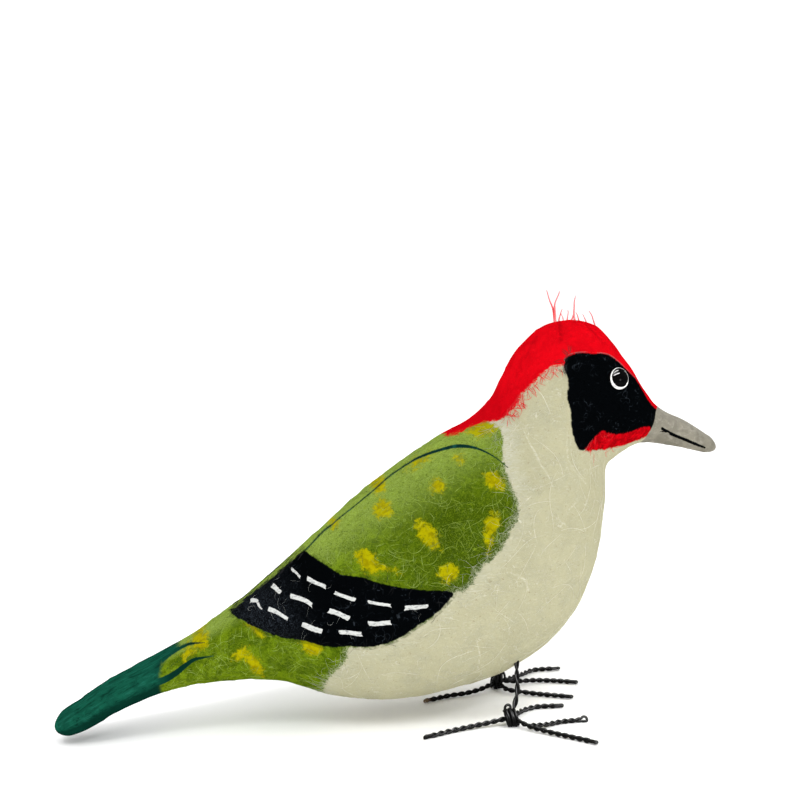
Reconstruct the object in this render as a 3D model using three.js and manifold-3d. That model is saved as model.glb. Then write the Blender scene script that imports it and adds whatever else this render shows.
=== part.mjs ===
// Papier-mache green woodpecker that stands on two feet of twisted wire.
// Millimetres, +Z up, +X towards the beak, +Y to the bird's left.
// The origin is the middle of the underside of the bird's box, on the floor.
import * as THREE from 'three';
import { mergeVertices } from 'three/addons/utils/BufferGeometryUtils.js';
import Module from 'manifold-3d';

const wasm = await Module();
wasm.setup();

// Driving dimensions of the body
const BODY_LENGTH = 232;
const BODY_WIDTH = 68;
const BELLY_CLEARANCE = 6.4;
const TAIL_ROUNDING = 5;
const BEAK_ROUNDING = 4;

// Driving dimensions of the eyes
const EYE_DIAMETER = 8;
const EYE_THICKNESS = 4.4;
const EYE_PROUD = 1.4;

// Driving dimensions of the feet, which are twisted from one size of wire
const WIRE_DIAMETER = 0.9;
const TWIST_PITCH = 6.2;
const LEG_ROOT = 9;
const LEG_STRAIGHT = 3;
const KNOT_RADIUS = 3.3;
const KNOT_WRAPS = 5;
const KNOT_FLAT_DEPTH = 0.4;
const WRAP_RELIEF = 0.3;
const TIP_FOLD_LENGTH = 3.2;
const TIP_FOLD_WIDTH = 3;
const TWIST_THICKNESS = 1.08;

// Driving dimensions of the tuft of fibres on the crown
const CREST_HEIGHT = 11.4;
const FIBRE_THICKNESS = 0.7;
const CREST_RIDGE_HEIGHT = 1.1;
const CREST_RIDGE_WIDTH = 2.6;

// Clearance between a piece and the socket that holds it
const FIT_GAP = 0.3;

// How finely the forms are faceted
const BODY_SEGMENTS = 26;
const RINGS_PER_STATION = 3;
const ROUNDED_END_RINGS = [0.03, 0.12, 0.3, 0.6];
const TWIST_STEPS_PER_TURN = 5;
const EYE_SEGMENTS = 14;
const EYE_RINGS = 8;
const KNOT_SEGMENTS = 16;
const SOCKET_SEGMENTS = 10;
const RIDGE_RINGS = 8;
const RIDGE_SEGMENTS = 8;
const SLIVER = 0.03;

// Stations of the body from tail to beak. Tops and bottoms are shares of the length, in percent:
// x from the tail's tip, z from the belly's lowest point. Width is a share of the body's width,
// low says how far the widest point lies below the middle, and square how boxy the section is.
const STATIONS = [
  { place: 'tail tip', top: [-0.4, 0.8], bottom: [0.5, -2.0], width: 0.18, low: 0, square: 2.3 },
  { place: 'tail end', top: [3.1, 2.9], bottom: [4.8, -0.9], width: 0.26, low: 0, square: 2.3 },
  { place: 'tail', top: [8.4, 5.8], bottom: [10.4, 1.8], width: 0.31, low: 0, square: 2.3 },
  { place: 'tail middle', top: [14.9, 8.8], bottom: [17.1, 4.1], width: 0.34, low: 0, square: 2.3 },
  { place: 'tail root', top: [21.8, 12.2], bottom: [24.4, 4.7], width: 0.4, low: 0, square: 2.2 },
  { place: 'rump', top: [29.1, 17.1], bottom: [33, 4.1], width: 0.53, low: 0, square: 2.1 },
  { place: 'vent', top: [36.5, 22.9], bottom: [41.2, 1.2], width: 0.72, low: 0.05, square: 2.05 },
  { place: 'loin', top: [43.8, 28.9], bottom: [49.8, 0.1], width: 0.88, low: 0.08, square: 2 },
  { place: 'back', top: [51.6, 34.3], bottom: [58.9, 1.1], width: 0.97, low: 0.1, square: 2 },
  { place: 'shoulder', top: [58, 38.2], bottom: [68.4, 4.1], width: 1, low: 0.08, square: 2 },
  { place: 'breast', top: [62.8, 40.4], bottom: [75.9, 10], width: 0.96, low: 0.05, square: 2 },
  { place: 'neck', top: [66.2, 43.2], bottom: [80.6, 18.4], width: 0.85, low: 0, square: 2 },
  { place: 'nape', top: [68.2, 46.5], bottom: [82.2, 26.6], width: 0.72, low: 0, square: 2 },
  { place: 'hind crown', top: [70.9, 50.6], bottom: [82.7, 31.9], width: 0.63, low: 0, square: 2 },
  { place: 'crown', top: [75.7, 54], bottom: [84.1, 33.5], width: 0.6, low: 0, square: 2 },
  { place: 'forehead', top: [81.8, 53.5], bottom: [86, 34.7], width: 0.56, low: 0, square: 2 },
  { place: 'brow', top: [86.1, 48.5], bottom: [87.5, 35.3], width: 0.44, low: 0, square: 2 },
  { place: 'beak root', top: [90.9, 41.2], bottom: [89.3, 35.4], width: 0.23, low: 0, square: 2 },
  { place: 'beak', top: [95.7, 38.1], bottom: [94.4, 34.4], width: 0.15, low: 0, square: 2 },
  { place: 'beak tip', top: [100.5, 34.7], bottom: [99.7, 32.9], width: 0.09, low: 0, square: 2 },
];

// Places on the body: a station, counted from the tail, and an angle in degrees round the section
// of the left side, where 0 is the flank, 90 the back and -90 the belly
const EYE_PLACE = { station: 15, angle: 11 };
const HIP_PLACE = { station: 8.9, angle: -60 };
const CREST_START = 13.8;
const CREST_END = 15;

// The fibres of the crest: place on its ridge from 0 behind to 1 in front, height as a share of
// the tallest, and as shares of its own height how far the tip leans forward and to the left and
// how far the middle bows forward
const FIBRES = [
  { place: 0.14, height: 1, forward: -0.24, left: 0.02, bow: 0.05 },
  { place: 0.2, height: 0.95, forward: 0.16, left: -0.06, bow: -0.08 },
  { place: 0.25, height: 0.6, forward: 0.05, left: 0.2, bow: 0.06 },
  { place: 0.32, height: 0.45, forward: 0.3, left: -0.1, bow: -0.05 },
  { place: 0.39, height: 0.34, forward: -0.25, left: 0.15, bow: 0.05 },
  { place: 0.46, height: 0.42, forward: 0.18, left: 0.1, bow: 0.04 },
  { place: 0.53, height: 0.62, forward: 0.25, left: -0.12, bow: 0.08 },
  { place: 0.6, height: 0.76, forward: 0.12, left: 0.1, bow: -0.06 },
  { place: 0.68, height: 0.4, forward: -0.3, left: -0.1, bow: 0.05 },
  { place: 0.76, height: 0.34, forward: -0.35, left: 0.2, bow: 0.04 },
  { place: 0.85, height: 0.48, forward: -0.42, left: 0, bow: 0.08 },
];

// How far along the way from its knot to its hip a leg's knee lies, in x, y and z
const KNEE_SHARES = new THREE.Vector3(0.74, 0.45, 0.43);

// Each foot: the knot's offset from the hip above it as x and y, then the toes. A toe is walked
// in equal steps from the knot, or from the first bend of the toe that it branches off, and
// a bearing in degrees from straight ahead belongs to each step. Its length includes the folded tip.
const FEET = {
  foot_right: {
    side: -1,
    stance: [-3.8, -6.3],
    toes: [
      { toe: 'rear', length: 31.5, bearings: [178, 187, 195, 203] },
      { toe: 'outer', length: 34, bearings: [-56, -46, -44, -46] },
      { toe: 'middle', length: 21.6, bearings: [14, 20, 2], branchesOff: 'outer' },
      { toe: 'inner', length: 28.5, bearings: [66, 58, 30, -5] },
    ],
  },
  foot_left: {
    side: 1,
    stance: [-0.8, 1.2],
    toes: [
      { toe: 'rear', length: 30.9, bearings: [214, 200, 186, 201] },
      { toe: 'outer', length: 32.6, bearings: [42, 45, 42, 0] },
      { toe: 'middle', length: 30.2, bearings: [6, 10, -12, -27] },
      { toe: 'inner', length: 32.5, bearings: [-78, -33, -30, -29] },
    ],
  },
};

const radians = THREE.MathUtils.degToRad;
const UP = new THREE.Vector3(0, 0, 1);

// A closed skin over rings of points. The rings turn counter-clockwise about the way they advance,
// every quad is split along its shorter diagonal, and a point closes each end.
function loft(rings, startPoint, endPoint) {
  const segments = rings[0].length;
  const points = [...rings.flat(), startPoint, endPoint];
  const start = rings.length * segments;
  const end = start + 1;
  const faces = [];
  for (let j = 0; j < segments; j++) {
    const next = (j + 1) % segments;
    for (let i = 0; i < rings.length - 1; i++) {
      const here = i * segments;
      const ahead = here + segments;
      const [a, b, c, d] = [here + j, here + next, ahead + next, ahead + j];
      const shorter = points[a].distanceTo(points[c]) <= points[b].distanceTo(points[d]);
      faces.push(...(shorter ? [a, b, c, a, c, d] : [a, b, d, b, c, d]));
    }
    const last = (rings.length - 1) * segments;
    faces.push(start, next, j);
    faces.push(end, last + j, last + next);
  }
  const geometry = new THREE.BufferGeometry();
  const positions = points.flatMap((point) => point.toArray());
  geometry.setAttribute('position', new THREE.Float32BufferAttribute(positions, 3));
  geometry.setIndex(faces);
  return geometry;
}

// A solid that can be joined and cut, from a closed geometry
function solid(geometry) {
  const bare = geometry.clone();
  bare.deleteAttribute('normal');
  bare.deleteAttribute('uv');
  const merged = mergeVertices(bare);
  const corners = merged.index.array;
  const faces = [];
  for (let i = 0; i < corners.length; i += 3) {
    const [a, b, c] = corners.slice(i, i + 3);
    if (a !== b && b !== c && c !== a) faces.push(a, b, c);
  }
  return new wasm.Manifold(new wasm.Mesh({
    numProp: 3,
    vertProperties: new Float32Array(merged.attributes.position.array),
    triVerts: new Uint32Array(faces),
  }));
}

// The outer skin of a form, without slivers or the sealed pockets that crossing wires leave
function outerSkin(form) {
  const pieces = form.asOriginal().simplify(SLIVER).decompose();
  return pieces.reduce((largest, piece) => (piece.volume() > largest.volume() ? piece : largest));
}

function fromSolid(cut) {
  const mesh = cut.getMesh();
  const geometry = new THREE.BufferGeometry();
  geometry.setAttribute('position', new THREE.BufferAttribute(mesh.vertProperties, 3));
  geometry.setIndex(new THREE.BufferAttribute(mesh.triVerts, 1));
  return geometry;
}

// The body's surface
const share = (percent) => (percent / 100) * BODY_LENGTH;

function curveThrough(points) {
  return new THREE.CatmullRomCurve3(points, false, 'catmullrom', 0.5);
}

function profilePoint([x, z]) {
  return new THREE.Vector3(share(x), 0, share(z) + BELLY_CLEARANCE);
}

const topCurve = curveThrough(STATIONS.map((station) => profilePoint(station.top)));
const bottomCurve = curveThrough(STATIONS.map((station) => profilePoint(station.bottom)));
const formCurve = curveThrough(
  STATIONS.map(({ width, low, square }) => new THREE.Vector3(width, low, square)),
);
const along = (station) => station / (STATIONS.length - 1);

function middlePoint(u) {
  return topCurve.getPoint(u).lerp(bottomCurve.getPoint(u), 0.5);
}

// How much of the full section is left near a rounded end
function endScale(distance, rounding) {
  if (distance >= rounding) return 1;
  return Math.sqrt(1 - (1 - distance / rounding) ** 2);
}

// A point on the surface: u runs from tail to beak, angle from the left flank over the back
function bodyPoint(u, angle) {
  const middle = middlePoint(u);
  const half = topCurve.getPoint(u).sub(middle);
  const { x: width, y: low, z: square } = formCurve.getPoint(u);
  const across = Math.sign(Math.cos(angle)) * Math.abs(Math.cos(angle)) ** (2 / square);
  const rise = Math.sign(Math.sin(angle)) * Math.abs(Math.sin(angle)) ** (2 / square);
  const scale = endScale(middle.distanceTo(middlePoint(0)), TAIL_ROUNDING)
    * endScale(middle.distanceTo(middlePoint(1)), BEAK_ROUNDING);
  return middle
    .addScaledVector(half, (rise - low * across ** 2) * scale)
    .add(new THREE.Vector3(0, 0.5 * BODY_WIDTH * width * across * scale, 0));
}

function bodyNormal(u, angle) {
  const step = 0.001;
  const forward = bodyPoint(u + step, angle).sub(bodyPoint(u - step, angle));
  const around = bodyPoint(u, angle + step).sub(bodyPoint(u, angle - step));
  return around.cross(forward).normalize();
}

// The same place on the left side (side 1) or on the right side (side -1)
function placeOnBody({ station, angle }, side) {
  const turn = side > 0 ? radians(angle) : Math.PI - radians(angle);
  return { point: bodyPoint(along(station), turn), normal: bodyNormal(along(station), turn) };
}

function bodyForm() {
  const count = (STATIONS.length - 1) * RINGS_PER_STATION;
  const places = [];
  for (let i = 1; i < count; i++) places.push(i / count);
  for (const part of ROUNDED_END_RINGS) places.push(part / count, 1 - part / count);
  places.sort((a, b) => a - b);
  const rings = places.map((u) => {
    const ring = [];
    for (let j = 0; j < BODY_SEGMENTS; j++) ring.push(bodyPoint(u, (2 * Math.PI * j) / BODY_SEGMENTS));
    return ring;
  });
  return loft(rings, middlePoint(0), middlePoint(1));
}

// An eye bead, or with a gap the socket that it sits in
function eyeBead(side, gap) {
  const { point, normal } = placeOnBody(EYE_PLACE, side);
  const bead = new THREE.SphereGeometry(1, EYE_SEGMENTS, EYE_RINGS);
  bead.scale(EYE_DIAMETER / 2 + gap, EYE_DIAMETER / 2 + gap, EYE_THICKNESS / 2 + gap);
  bead.applyQuaternion(new THREE.Quaternion().setFromUnitVectors(UP, normal));
  const centre = point.addScaledVector(normal, EYE_PROUD - EYE_THICKNESS / 2);
  return bead.translate(...centre.toArray());
}

// Where a leg runs: from the knot up to the hip and on into the body
function legLine({ side, stance }) {
  const hip = placeOnBody(HIP_PLACE, side).point;
  const knot = new THREE.Vector3(hip.x + stance[0], hip.y + stance[1], KNOT_RADIUS - KNOT_FLAT_DEPTH);
  const knee = hip.clone().sub(knot).multiply(KNEE_SHARES).add(knot);
  const axis = hip.clone().sub(knee).normalize();
  const mouth = hip.clone().addScaledVector(axis, -LEG_STRAIGHT);
  return { knot, knee, mouth, axis, top: hip.clone().addScaledVector(axis, LEG_ROOT) };
}

// The outline of two strands side by side, turned about the curve at one of its frames
function strandRing(centre, normal, binormal, turn, width) {
  const outline = [[width / 2, 0], [0, TWIST_THICKNESS / 2], [-width / 2, 0], [0, -TWIST_THICKNESS / 2]];
  return outline.map(([wide, thick]) => {
    const across = wide * Math.cos(turn) - thick * Math.sin(turn);
    const up = wide * Math.sin(turn) + thick * Math.cos(turn);
    return centre.clone().addScaledVector(normal, across).addScaledVector(binormal, up);
  });
}

// Two strands of wire twisted together along a curve, so that they lie level at its end, where
// they are cut off or folded back
function twistedWire(curve, folded) {
  const steps = Math.round((curve.getLength() / TWIST_PITCH) * TWIST_STEPS_PER_TURN);
  const { normals, binormals } = curve.computeFrenetFrames(steps, false);
  const end = curve.getPointAt(1);
  const heading = curve.getTangentAt(1);
  const across = new THREE.Vector3().crossVectors(UP, heading);
  const level = Math.atan2(across.dot(binormals[steps]), across.dot(normals[steps]));
  const turns = (2 * Math.PI * steps) / TWIST_STEPS_PER_TURN;
  const lastTurn = level + Math.PI * Math.round((turns - level) / Math.PI);
  const rings = [];
  for (let i = 0; i <= steps; i++) {
    const centre = curve.getPointAt(i / steps);
    rings.push(strandRing(centre, normals[i], binormals[i], (lastTurn * i) / steps, 2 * WIRE_DIAMETER));
  }
  if (!folded) return loft(rings, curve.getPointAt(0), end);
  for (const part of [0.3, 0.55, 0.8, 0.95]) {
    const centre = end.clone().addScaledVector(heading, part * TIP_FOLD_LENGTH);
    const width = TIP_FOLD_WIDTH * Math.sqrt(1 - (2 * part - 1) ** 2);
    rings.push(strandRing(centre, normals[steps], binormals[steps], lastTurn, width));
  }
  return loft(rings, curve.getPointAt(0), end.addScaledVector(heading, TIP_FOLD_LENGTH));
}

// A toe comes down from where it starts and then lies along the floor
function toeCurve(start, { length, bearings }) {
  const rest = WIRE_DIAMETER;
  const step = (length - TIP_FOLD_LENGTH) / bearings.length;
  const points = [start.clone()];
  bearings.forEach((bearing, i) => {
    const walked = (i + 1) / bearings.length;
    const next = points[i].clone();
    next.x += step * Math.cos(radians(bearing));
    next.y += step * Math.sin(radians(bearing));
    next.z = rest + (start.z - rest) * (1 - walked) ** 3;
    points.push(next);
  });
  return new THREE.CatmullRomCurve3(points);
}

// Wraps of wire that bind the toes, flat where they stand on the floor
function knotOfWraps(centre) {
  const length = KNOT_WRAPS * WIRE_DIAMETER;
  const profile = [new THREE.Vector2(0, -length / 2)];
  for (let wrap = 0; wrap < KNOT_WRAPS; wrap++) {
    const start = (wrap - KNOT_WRAPS / 2) * WIRE_DIAMETER;
    const fromMiddle = Math.abs(wrap - (KNOT_WRAPS - 1) / 2) / (KNOT_WRAPS / 2);
    const crest = KNOT_RADIUS - 0.5 * WIRE_DIAMETER * fromMiddle ** 2;
    profile.push(new THREE.Vector2(crest - WRAP_RELIEF, start));
    profile.push(new THREE.Vector2(crest, start + 0.25 * WIRE_DIAMETER));
    profile.push(new THREE.Vector2(crest, start + 0.75 * WIRE_DIAMETER));
  }
  profile.push(new THREE.Vector2(profile[1].x, length / 2));
  profile.push(new THREE.Vector2(0, length / 2));
  const wraps = new THREE.LatheGeometry(profile, KNOT_SEGMENTS);
  wraps.rotateZ(-Math.PI / 2);
  wraps.translate(...centre.toArray());
  const below = new THREE.BoxGeometry(4 * KNOT_RADIUS, 4 * KNOT_RADIUS, 2 * KNOT_RADIUS);
  below.translate(centre.x, centre.y, -KNOT_RADIUS);
  return solid(wraps).subtract(solid(below));
}

function footForm(foot) {
  const { knot, knee, mouth, top } = legLine(foot);
  const leg = twistedWire(new THREE.CatmullRomCurve3([knot, knee, mouth, top]), false);
  let form = knotOfWraps(knot).add(solid(leg));
  const curves = {};
  for (const toe of foot.toes) {
    const start = toe.branchesOff ? curves[toe.branchesOff].points[1] : knot;
    curves[toe.toe] = toeCurve(start, toe);
    form = form.add(solid(twistedWire(curves[toe.toe], true)));
  }
  return fromSolid(outerSkin(form));
}

// The blind hole in the belly that a leg is glued into
function legSocket(foot) {
  const { mouth, axis, top } = legLine(foot);
  const end = top.clone().addScaledVector(axis, FIT_GAP);
  const radius = WIRE_DIAMETER + FIT_GAP;
  const hole = new THREE.CylinderGeometry(radius, radius, mouth.distanceTo(end), SOCKET_SEGMENTS);
  hole.applyQuaternion(new THREE.Quaternion().setFromUnitVectors(new THREE.Vector3(0, 1, 0), axis));
  return hole.translate(...mouth.lerp(end, 0.5).toArray());
}

// The low ridge that gathers the fibres along the crown, or with a gap its groove in the head
function crestRidge(gap) {
  const rings = [];
  for (let i = 1; i < RIDGE_RINGS; i++) {
    const part = i / RIDGE_RINGS;
    const swell = Math.sin(Math.PI * part);
    const centre = topCurve.getPoint(along(THREE.MathUtils.lerp(CREST_START, CREST_END, part)));
    const wide = 0.5 * CREST_RIDGE_WIDTH * swell + gap;
    const high = CREST_RIDGE_HEIGHT * swell + gap;
    const ring = [];
    for (let j = 0; j < RIDGE_SEGMENTS; j++) {
      const angle = (2 * Math.PI * j) / RIDGE_SEGMENTS;
      ring.push(centre.clone().add(new THREE.Vector3(0, wide * Math.cos(angle), high * Math.sin(angle))));
    }
    rings.push(ring);
  }
  return loft(rings, topCurve.getPoint(along(CREST_START)), topCurve.getPoint(along(CREST_END)));
}

// One fibre: it leans, bows in the middle and thins towards its tip
function crestFibre({ place, height, forward, left, bow }) {
  const root = topCurve.getPoint(along(THREE.MathUtils.lerp(CREST_START, CREST_END, place)));
  const rise = new THREE.Vector3(forward, left, 1).multiplyScalar(CREST_HEIGHT * height);
  const swing = new THREE.Vector3(bow, 0, 0).multiplyScalar(CREST_HEIGHT * height);
  const steps = 4;
  const rings = [];
  for (let i = 0; i <= steps; i++) {
    const t = i / steps;
    const centre = root.clone().addScaledVector(rise, t).addScaledVector(swing, Math.sin(Math.PI * t));
    const radius = 0.5 * FIBRE_THICKNESS * (1 - 0.5 * t);
    const ring = [];
    for (let j = 0; j < 4; j++) {
      ring.push(centre.clone().add(new THREE.Vector3(radius, 0, 0).applyAxisAngle(UP, (Math.PI * j) / 2)));
    }
    rings.push(ring);
  }
  return loft(rings, root, root.clone().add(rise));
}

function crestForm() {
  let form = solid(crestRidge(0));
  for (const fibre of FIBRES) form = form.add(solid(crestFibre(fibre)));
  return fromSolid(outerSkin(form));
}

function bodyWithSockets() {
  let form = solid(bodyForm()).subtract(solid(crestRidge(FIT_GAP)));
  for (const side of [-1, 1]) form = form.subtract(solid(eyeBead(side, FIT_GAP)));
  for (const foot of Object.values(FEET)) form = form.subtract(solid(legSocket(foot)));
  return fromSolid(outerSkin(form));
}

// Materials
const paper = { color: 0x7f9a35, roughness: 0.85, metalness: 0 };
const bead = { color: 0x0b0c0e, roughness: 0.12, metalness: 0 };
const wire = { color: 0x111312, roughness: 0.55, metalness: 0.6 };
const redPaper = { color: 0xd01c24, roughness: 0.8, metalness: 0 };

const bird = new THREE.Group();

function addPiece(name, geometry, finish) {
  const mesh = new THREE.Mesh(geometry, new THREE.MeshStandardMaterial(finish));
  mesh.name = name;
  bird.add(mesh);
}

addPiece('body', bodyWithSockets(), paper);
addPiece('eye_right', eyeBead(-1, 0), bead);
addPiece('eye_left', eyeBead(1, 0), bead);
for (const [name, foot] of Object.entries(FEET)) addPiece(name, footForm(foot), wire);
addPiece('crest_fibres', crestForm(), redPaper);

// The origin moves to the middle of the underside of the box
const box = new THREE.Box3().setFromObject(bird);
const middle = box.getCenter(new THREE.Vector3());
bird.position.set(-middle.x, -middle.y, -box.min.z);

export default bird;
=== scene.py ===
# The looks of a papier-mache green woodpecker that stands on two feet of twisted wire.
# Sizes are in millimetres in the bird's own measures: x from the tail's tip towards the beak,
# y from the middle plane to the bird's left, z from the floor. place() turns them into metres
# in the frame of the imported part.
import math
import random

import bpy
import numpy as np
from mathutils import Matrix, Vector, noise
from mathutils.bvhtree import BVHTree


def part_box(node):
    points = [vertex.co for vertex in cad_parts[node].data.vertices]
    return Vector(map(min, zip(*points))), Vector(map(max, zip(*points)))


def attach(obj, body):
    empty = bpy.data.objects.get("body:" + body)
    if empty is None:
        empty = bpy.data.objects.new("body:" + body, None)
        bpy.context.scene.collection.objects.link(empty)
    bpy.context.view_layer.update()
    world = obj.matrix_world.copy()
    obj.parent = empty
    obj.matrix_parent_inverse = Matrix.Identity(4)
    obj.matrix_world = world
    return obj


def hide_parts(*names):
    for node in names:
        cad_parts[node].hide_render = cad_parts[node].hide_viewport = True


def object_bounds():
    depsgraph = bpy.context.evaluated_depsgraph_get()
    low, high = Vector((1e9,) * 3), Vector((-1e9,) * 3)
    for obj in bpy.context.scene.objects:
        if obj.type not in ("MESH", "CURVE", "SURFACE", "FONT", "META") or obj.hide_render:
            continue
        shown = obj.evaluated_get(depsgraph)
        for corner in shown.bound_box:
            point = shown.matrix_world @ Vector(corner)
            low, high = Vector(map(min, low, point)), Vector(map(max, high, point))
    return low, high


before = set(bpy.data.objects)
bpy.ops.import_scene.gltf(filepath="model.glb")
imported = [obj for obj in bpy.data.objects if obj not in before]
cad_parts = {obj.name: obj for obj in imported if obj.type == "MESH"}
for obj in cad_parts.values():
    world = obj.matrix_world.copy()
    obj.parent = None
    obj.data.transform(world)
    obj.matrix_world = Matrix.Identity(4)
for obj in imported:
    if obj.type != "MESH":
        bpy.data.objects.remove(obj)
CAD_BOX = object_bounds()
MM = 0.001
random.seed(11)

# The form of the body, with the same stations as the solid
BODY_LENGTH = 232.0
BODY_WIDTH = 68.0
BELLY_CLEARANCE = 6.4
TAIL_ROUNDING = 5.0
BEAK_ROUNDING = 4.0
# top x and z and bottom x and z in percent of the length, width as a share of the body's width,
# how low the widest point lies, and how boxy the section is
STATIONS = {
    "tail tip": (-0.4, 0.8, 0.5, -2.0, 0.18, 0, 2.3),
    "tail end": (3.1, 2.9, 4.8, -0.9, 0.26, 0, 2.3),
    "tail": (8.4, 5.8, 10.4, 1.8, 0.31, 0, 2.3),
    "tail middle": (14.9, 8.8, 17.1, 4.1, 0.34, 0, 2.3),
    "tail root": (21.8, 12.2, 24.4, 4.7, 0.40, 0, 2.2),
    "rump": (29.1, 17.1, 33.0, 4.1, 0.53, 0, 2.1),
    "vent": (36.5, 22.9, 41.2, 1.2, 0.72, 0.05, 2.05),
    "loin": (43.8, 28.9, 49.8, 0.1, 0.88, 0.08, 2),
    "back": (51.6, 34.3, 58.9, 1.1, 0.97, 0.1, 2),
    "shoulder": (58.0, 38.2, 68.4, 4.1, 1.00, 0.08, 2),
    "breast": (62.8, 40.4, 75.9, 10.0, 0.96, 0.05, 2),
    "neck": (66.2, 43.2, 80.6, 18.4, 0.85, 0, 2),
    "nape": (68.2, 46.5, 82.2, 26.6, 0.72, 0, 2),
    "hind crown": (70.9, 50.6, 82.7, 31.9, 0.63, 0, 2),
    "crown": (75.7, 54.0, 84.1, 33.5, 0.60, 0, 2),
    "forehead": (81.8, 53.5, 86.0, 34.7, 0.56, 0, 2),
    "brow": (86.1, 48.5, 87.5, 35.3, 0.44, 0, 2),
    "beak root": (90.9, 41.2, 89.3, 35.4, 0.23, 0, 2),
    "beak": (95.7, 38.1, 94.4, 34.4, 0.15, 0, 2),
    "beak tip": (100.5, 34.7, 99.7, 32.9, 0.09, 0, 2),
}
SKIN_RINGS = 380
SKIN_SEGMENTS = 232
END_RINGS = 14

# How steeply the tail rises, in degrees
TAIL_SLOPE = 26

SIDES = {"right": -1, "left": 1}
# Places on the body: a station, and an angle in degrees up from the left flank
EYE_STATION, EYE_ANGLE = 15, 11
HIP_STATION, HIP_ANGLE = 8.9, -60
EYE_DIAMETER, EYE_THICKNESS, EYE_PROUD = 8.0, 4.4, 1.4
CREST_START, CREST_END = 13.8, 15.0

# The fibres of the crest: place from 0 behind to 1 in front, height as a share of the tallest, and
# as shares of its own height how far the tip leans forward and to the left and the middle bows
CREST_HEIGHT = 11.4
FIBRES = [
    (0.26, 1.0, -0.22, 0.02, 0.05), (0.28, 0.95, 0.14, -0.06, -0.09), (0.25, 0.55, 0.1, 0.2, 0.06),
    (0.34, 0.40, 0.3, -0.1, -0.05), (0.44, 0.26, -0.25, 0.15, 0.05), (0.5, 0.34, 0.18, 0.1, 0.04),
    (0.58, 0.36, 0.25, -0.12, 0.08), (0.66, 0.78, 0.1, 0.1, -0.06), (0.74, 0.3, -0.3, -0.1, 0.05),
    (0.9, 0.3, -0.35, 0.2, 0.04), (1.1, 0.52, -0.32, 0.0, 0.06),
]

# The wire of the feet
WIRE = 0.9
TWIST_PITCH = 6.2
LEG_ROOT = 9.0
LEG_STRAIGHT = 3.0
LEG_PITCH = 8.5
KNOT_RADIUS = 3.3
KNOT_HEIGHT = 2.9
KNOT_WRAPS = 5
EYELET_RADIUS = 0.95
TIP_FOLD_LENGTH = 3.2
KNEE_SHARES = np.array((0.74, 0.45, 0.43))
PLAIN_LOOP = (0.52, 0)
# Each foot: the knot's offset from the hip above it, and the toes: length, bearings in degrees from
# straight ahead, radius and roll of the loop at the end, and the toe that it branches off
FEET = {
    "right": ((-3.8, -6.3), {
        "rear": (31.5, (178, 187, 195, 203), (0.62, 55)),
        "outer": (34.0, (-56, -46, -44, -46), PLAIN_LOOP),
        "middle": (21.6, (14, 20, 2), (0.95, 62), "outer"),
        "inner": (28.5, (66, 58, 30, -5), (0.5, 20)),
    }),
    "left": ((-0.8, 1.2), {
        "rear": (30.9, (214, 200, 186, 201), (0.8, 50)),
        "outer": (32.6, (42, 45, 42, 0), PLAIN_LOOP),
        "middle": (30.2, (6, 10, -12, -27), (0.5, 15)),
        "inner": (32.5, (-78, -33, -30, -29), PLAIN_LOOP),
    }),
}

# What is painted or pasted on each side, as seen from the side: x from the tail's tip, z from
# the floor
OUTLINES = {
    "green": [
        (151, 100), (153.5, 97.8), (152.7, 90), (153, 85), (155.4, 77.6), (155.6, 72.9), (152.3, 66.6),
        (147.8, 60.0), (143.8, 56.9), (140.8, 54.6), (139.4, 51.2), (135.4, 48.9), (130.9, 47.8),
        (126.7, 42), (120.8, 38.5), (114.9, 34.6), (106.5, 32), (99, 31.6), (97.6, 26.8),
        (93.6, 22.4), (91.4, 18.7), (90.4, 13.1), (90.4, -20), (-30, -20),
        (-30, 150), (150, 150), (150, 110),
    ],
    "tail": [
        (43.5, 34), (42.5, 30.4), (38.9, 27.8), (37, 24), (36.9, 16.7), (37, -10), (-30, -10),
        (-30, 50), (43, 50),
    ],
    "wing": [
        (87, 60.2), (89.6, 59.2), (95.1, 56.5), (98, 54.9), (104.3, 54.2), (112.7, 51.7), (122.3, 50.1),
        (132.6, 49.0), (130.6, 45.6), (126.7, 42), (120.8, 38.5), (114.9, 34.6), (106.5, 32), (99, 32.2),
        (91.8, 32.2), (84.2, 34.3), (76.9, 35.2), (67.2, 38.9), (62, 40.8), (61.2, 41.4), (64.4, 43.6),
        (70.8, 48.2), (77.3, 52.9), (83, 57.5),
    ],
    "red": [
        (132, 97), (138.7, 96), (147.4, 99.5), (154.2, 101.2), (159.1, 105.1), (161.6, 109),
        (165, 112.5), (168.9, 115.9), (174.9, 118.1), (190, 112), (205, 103.4), (209.7, 99.8),
        (212.6, 99.8), (222, 108), (222, 150), (125, 150), (125, 97),
    ],
    "mask": [
        (175.5, 117), (176.8, 120.8), (181, 121.9), (185.7, 121.5), (190.8, 120.7), (195.2, 117.3),
        (201.8, 111.1), (205.6, 105.2), (208.9, 101.3), (211, 99), (209.6, 93.6), (202.3, 93),
        (198.1, 92), (191.7, 92), (187.2, 92), (183.2, 91.6), (180, 90.2), (177.6, 91.5),
        (176.1, 97.1), (176.2, 103.1), (175.4, 107.7), (176.3, 112.5),
    ],
    "moustache": [
        (183.2, 92.5), (187.2, 95.6), (190.9, 94.2), (196.7, 94), (203.2, 95.1), (206.8, 94.4),
        (206, 91.5), (199.2, 89.7), (191.6, 89), (184.5, 89.3), (180.3, 90),
    ],
    "beak": [
        (212, 101.9), (209.4, 99.7), (208.2, 96.3), (205.6, 90.9), (204.6, 87), (206, 70), (250, 70),
        (250, 112), (214, 106),
    ],
}
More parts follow.
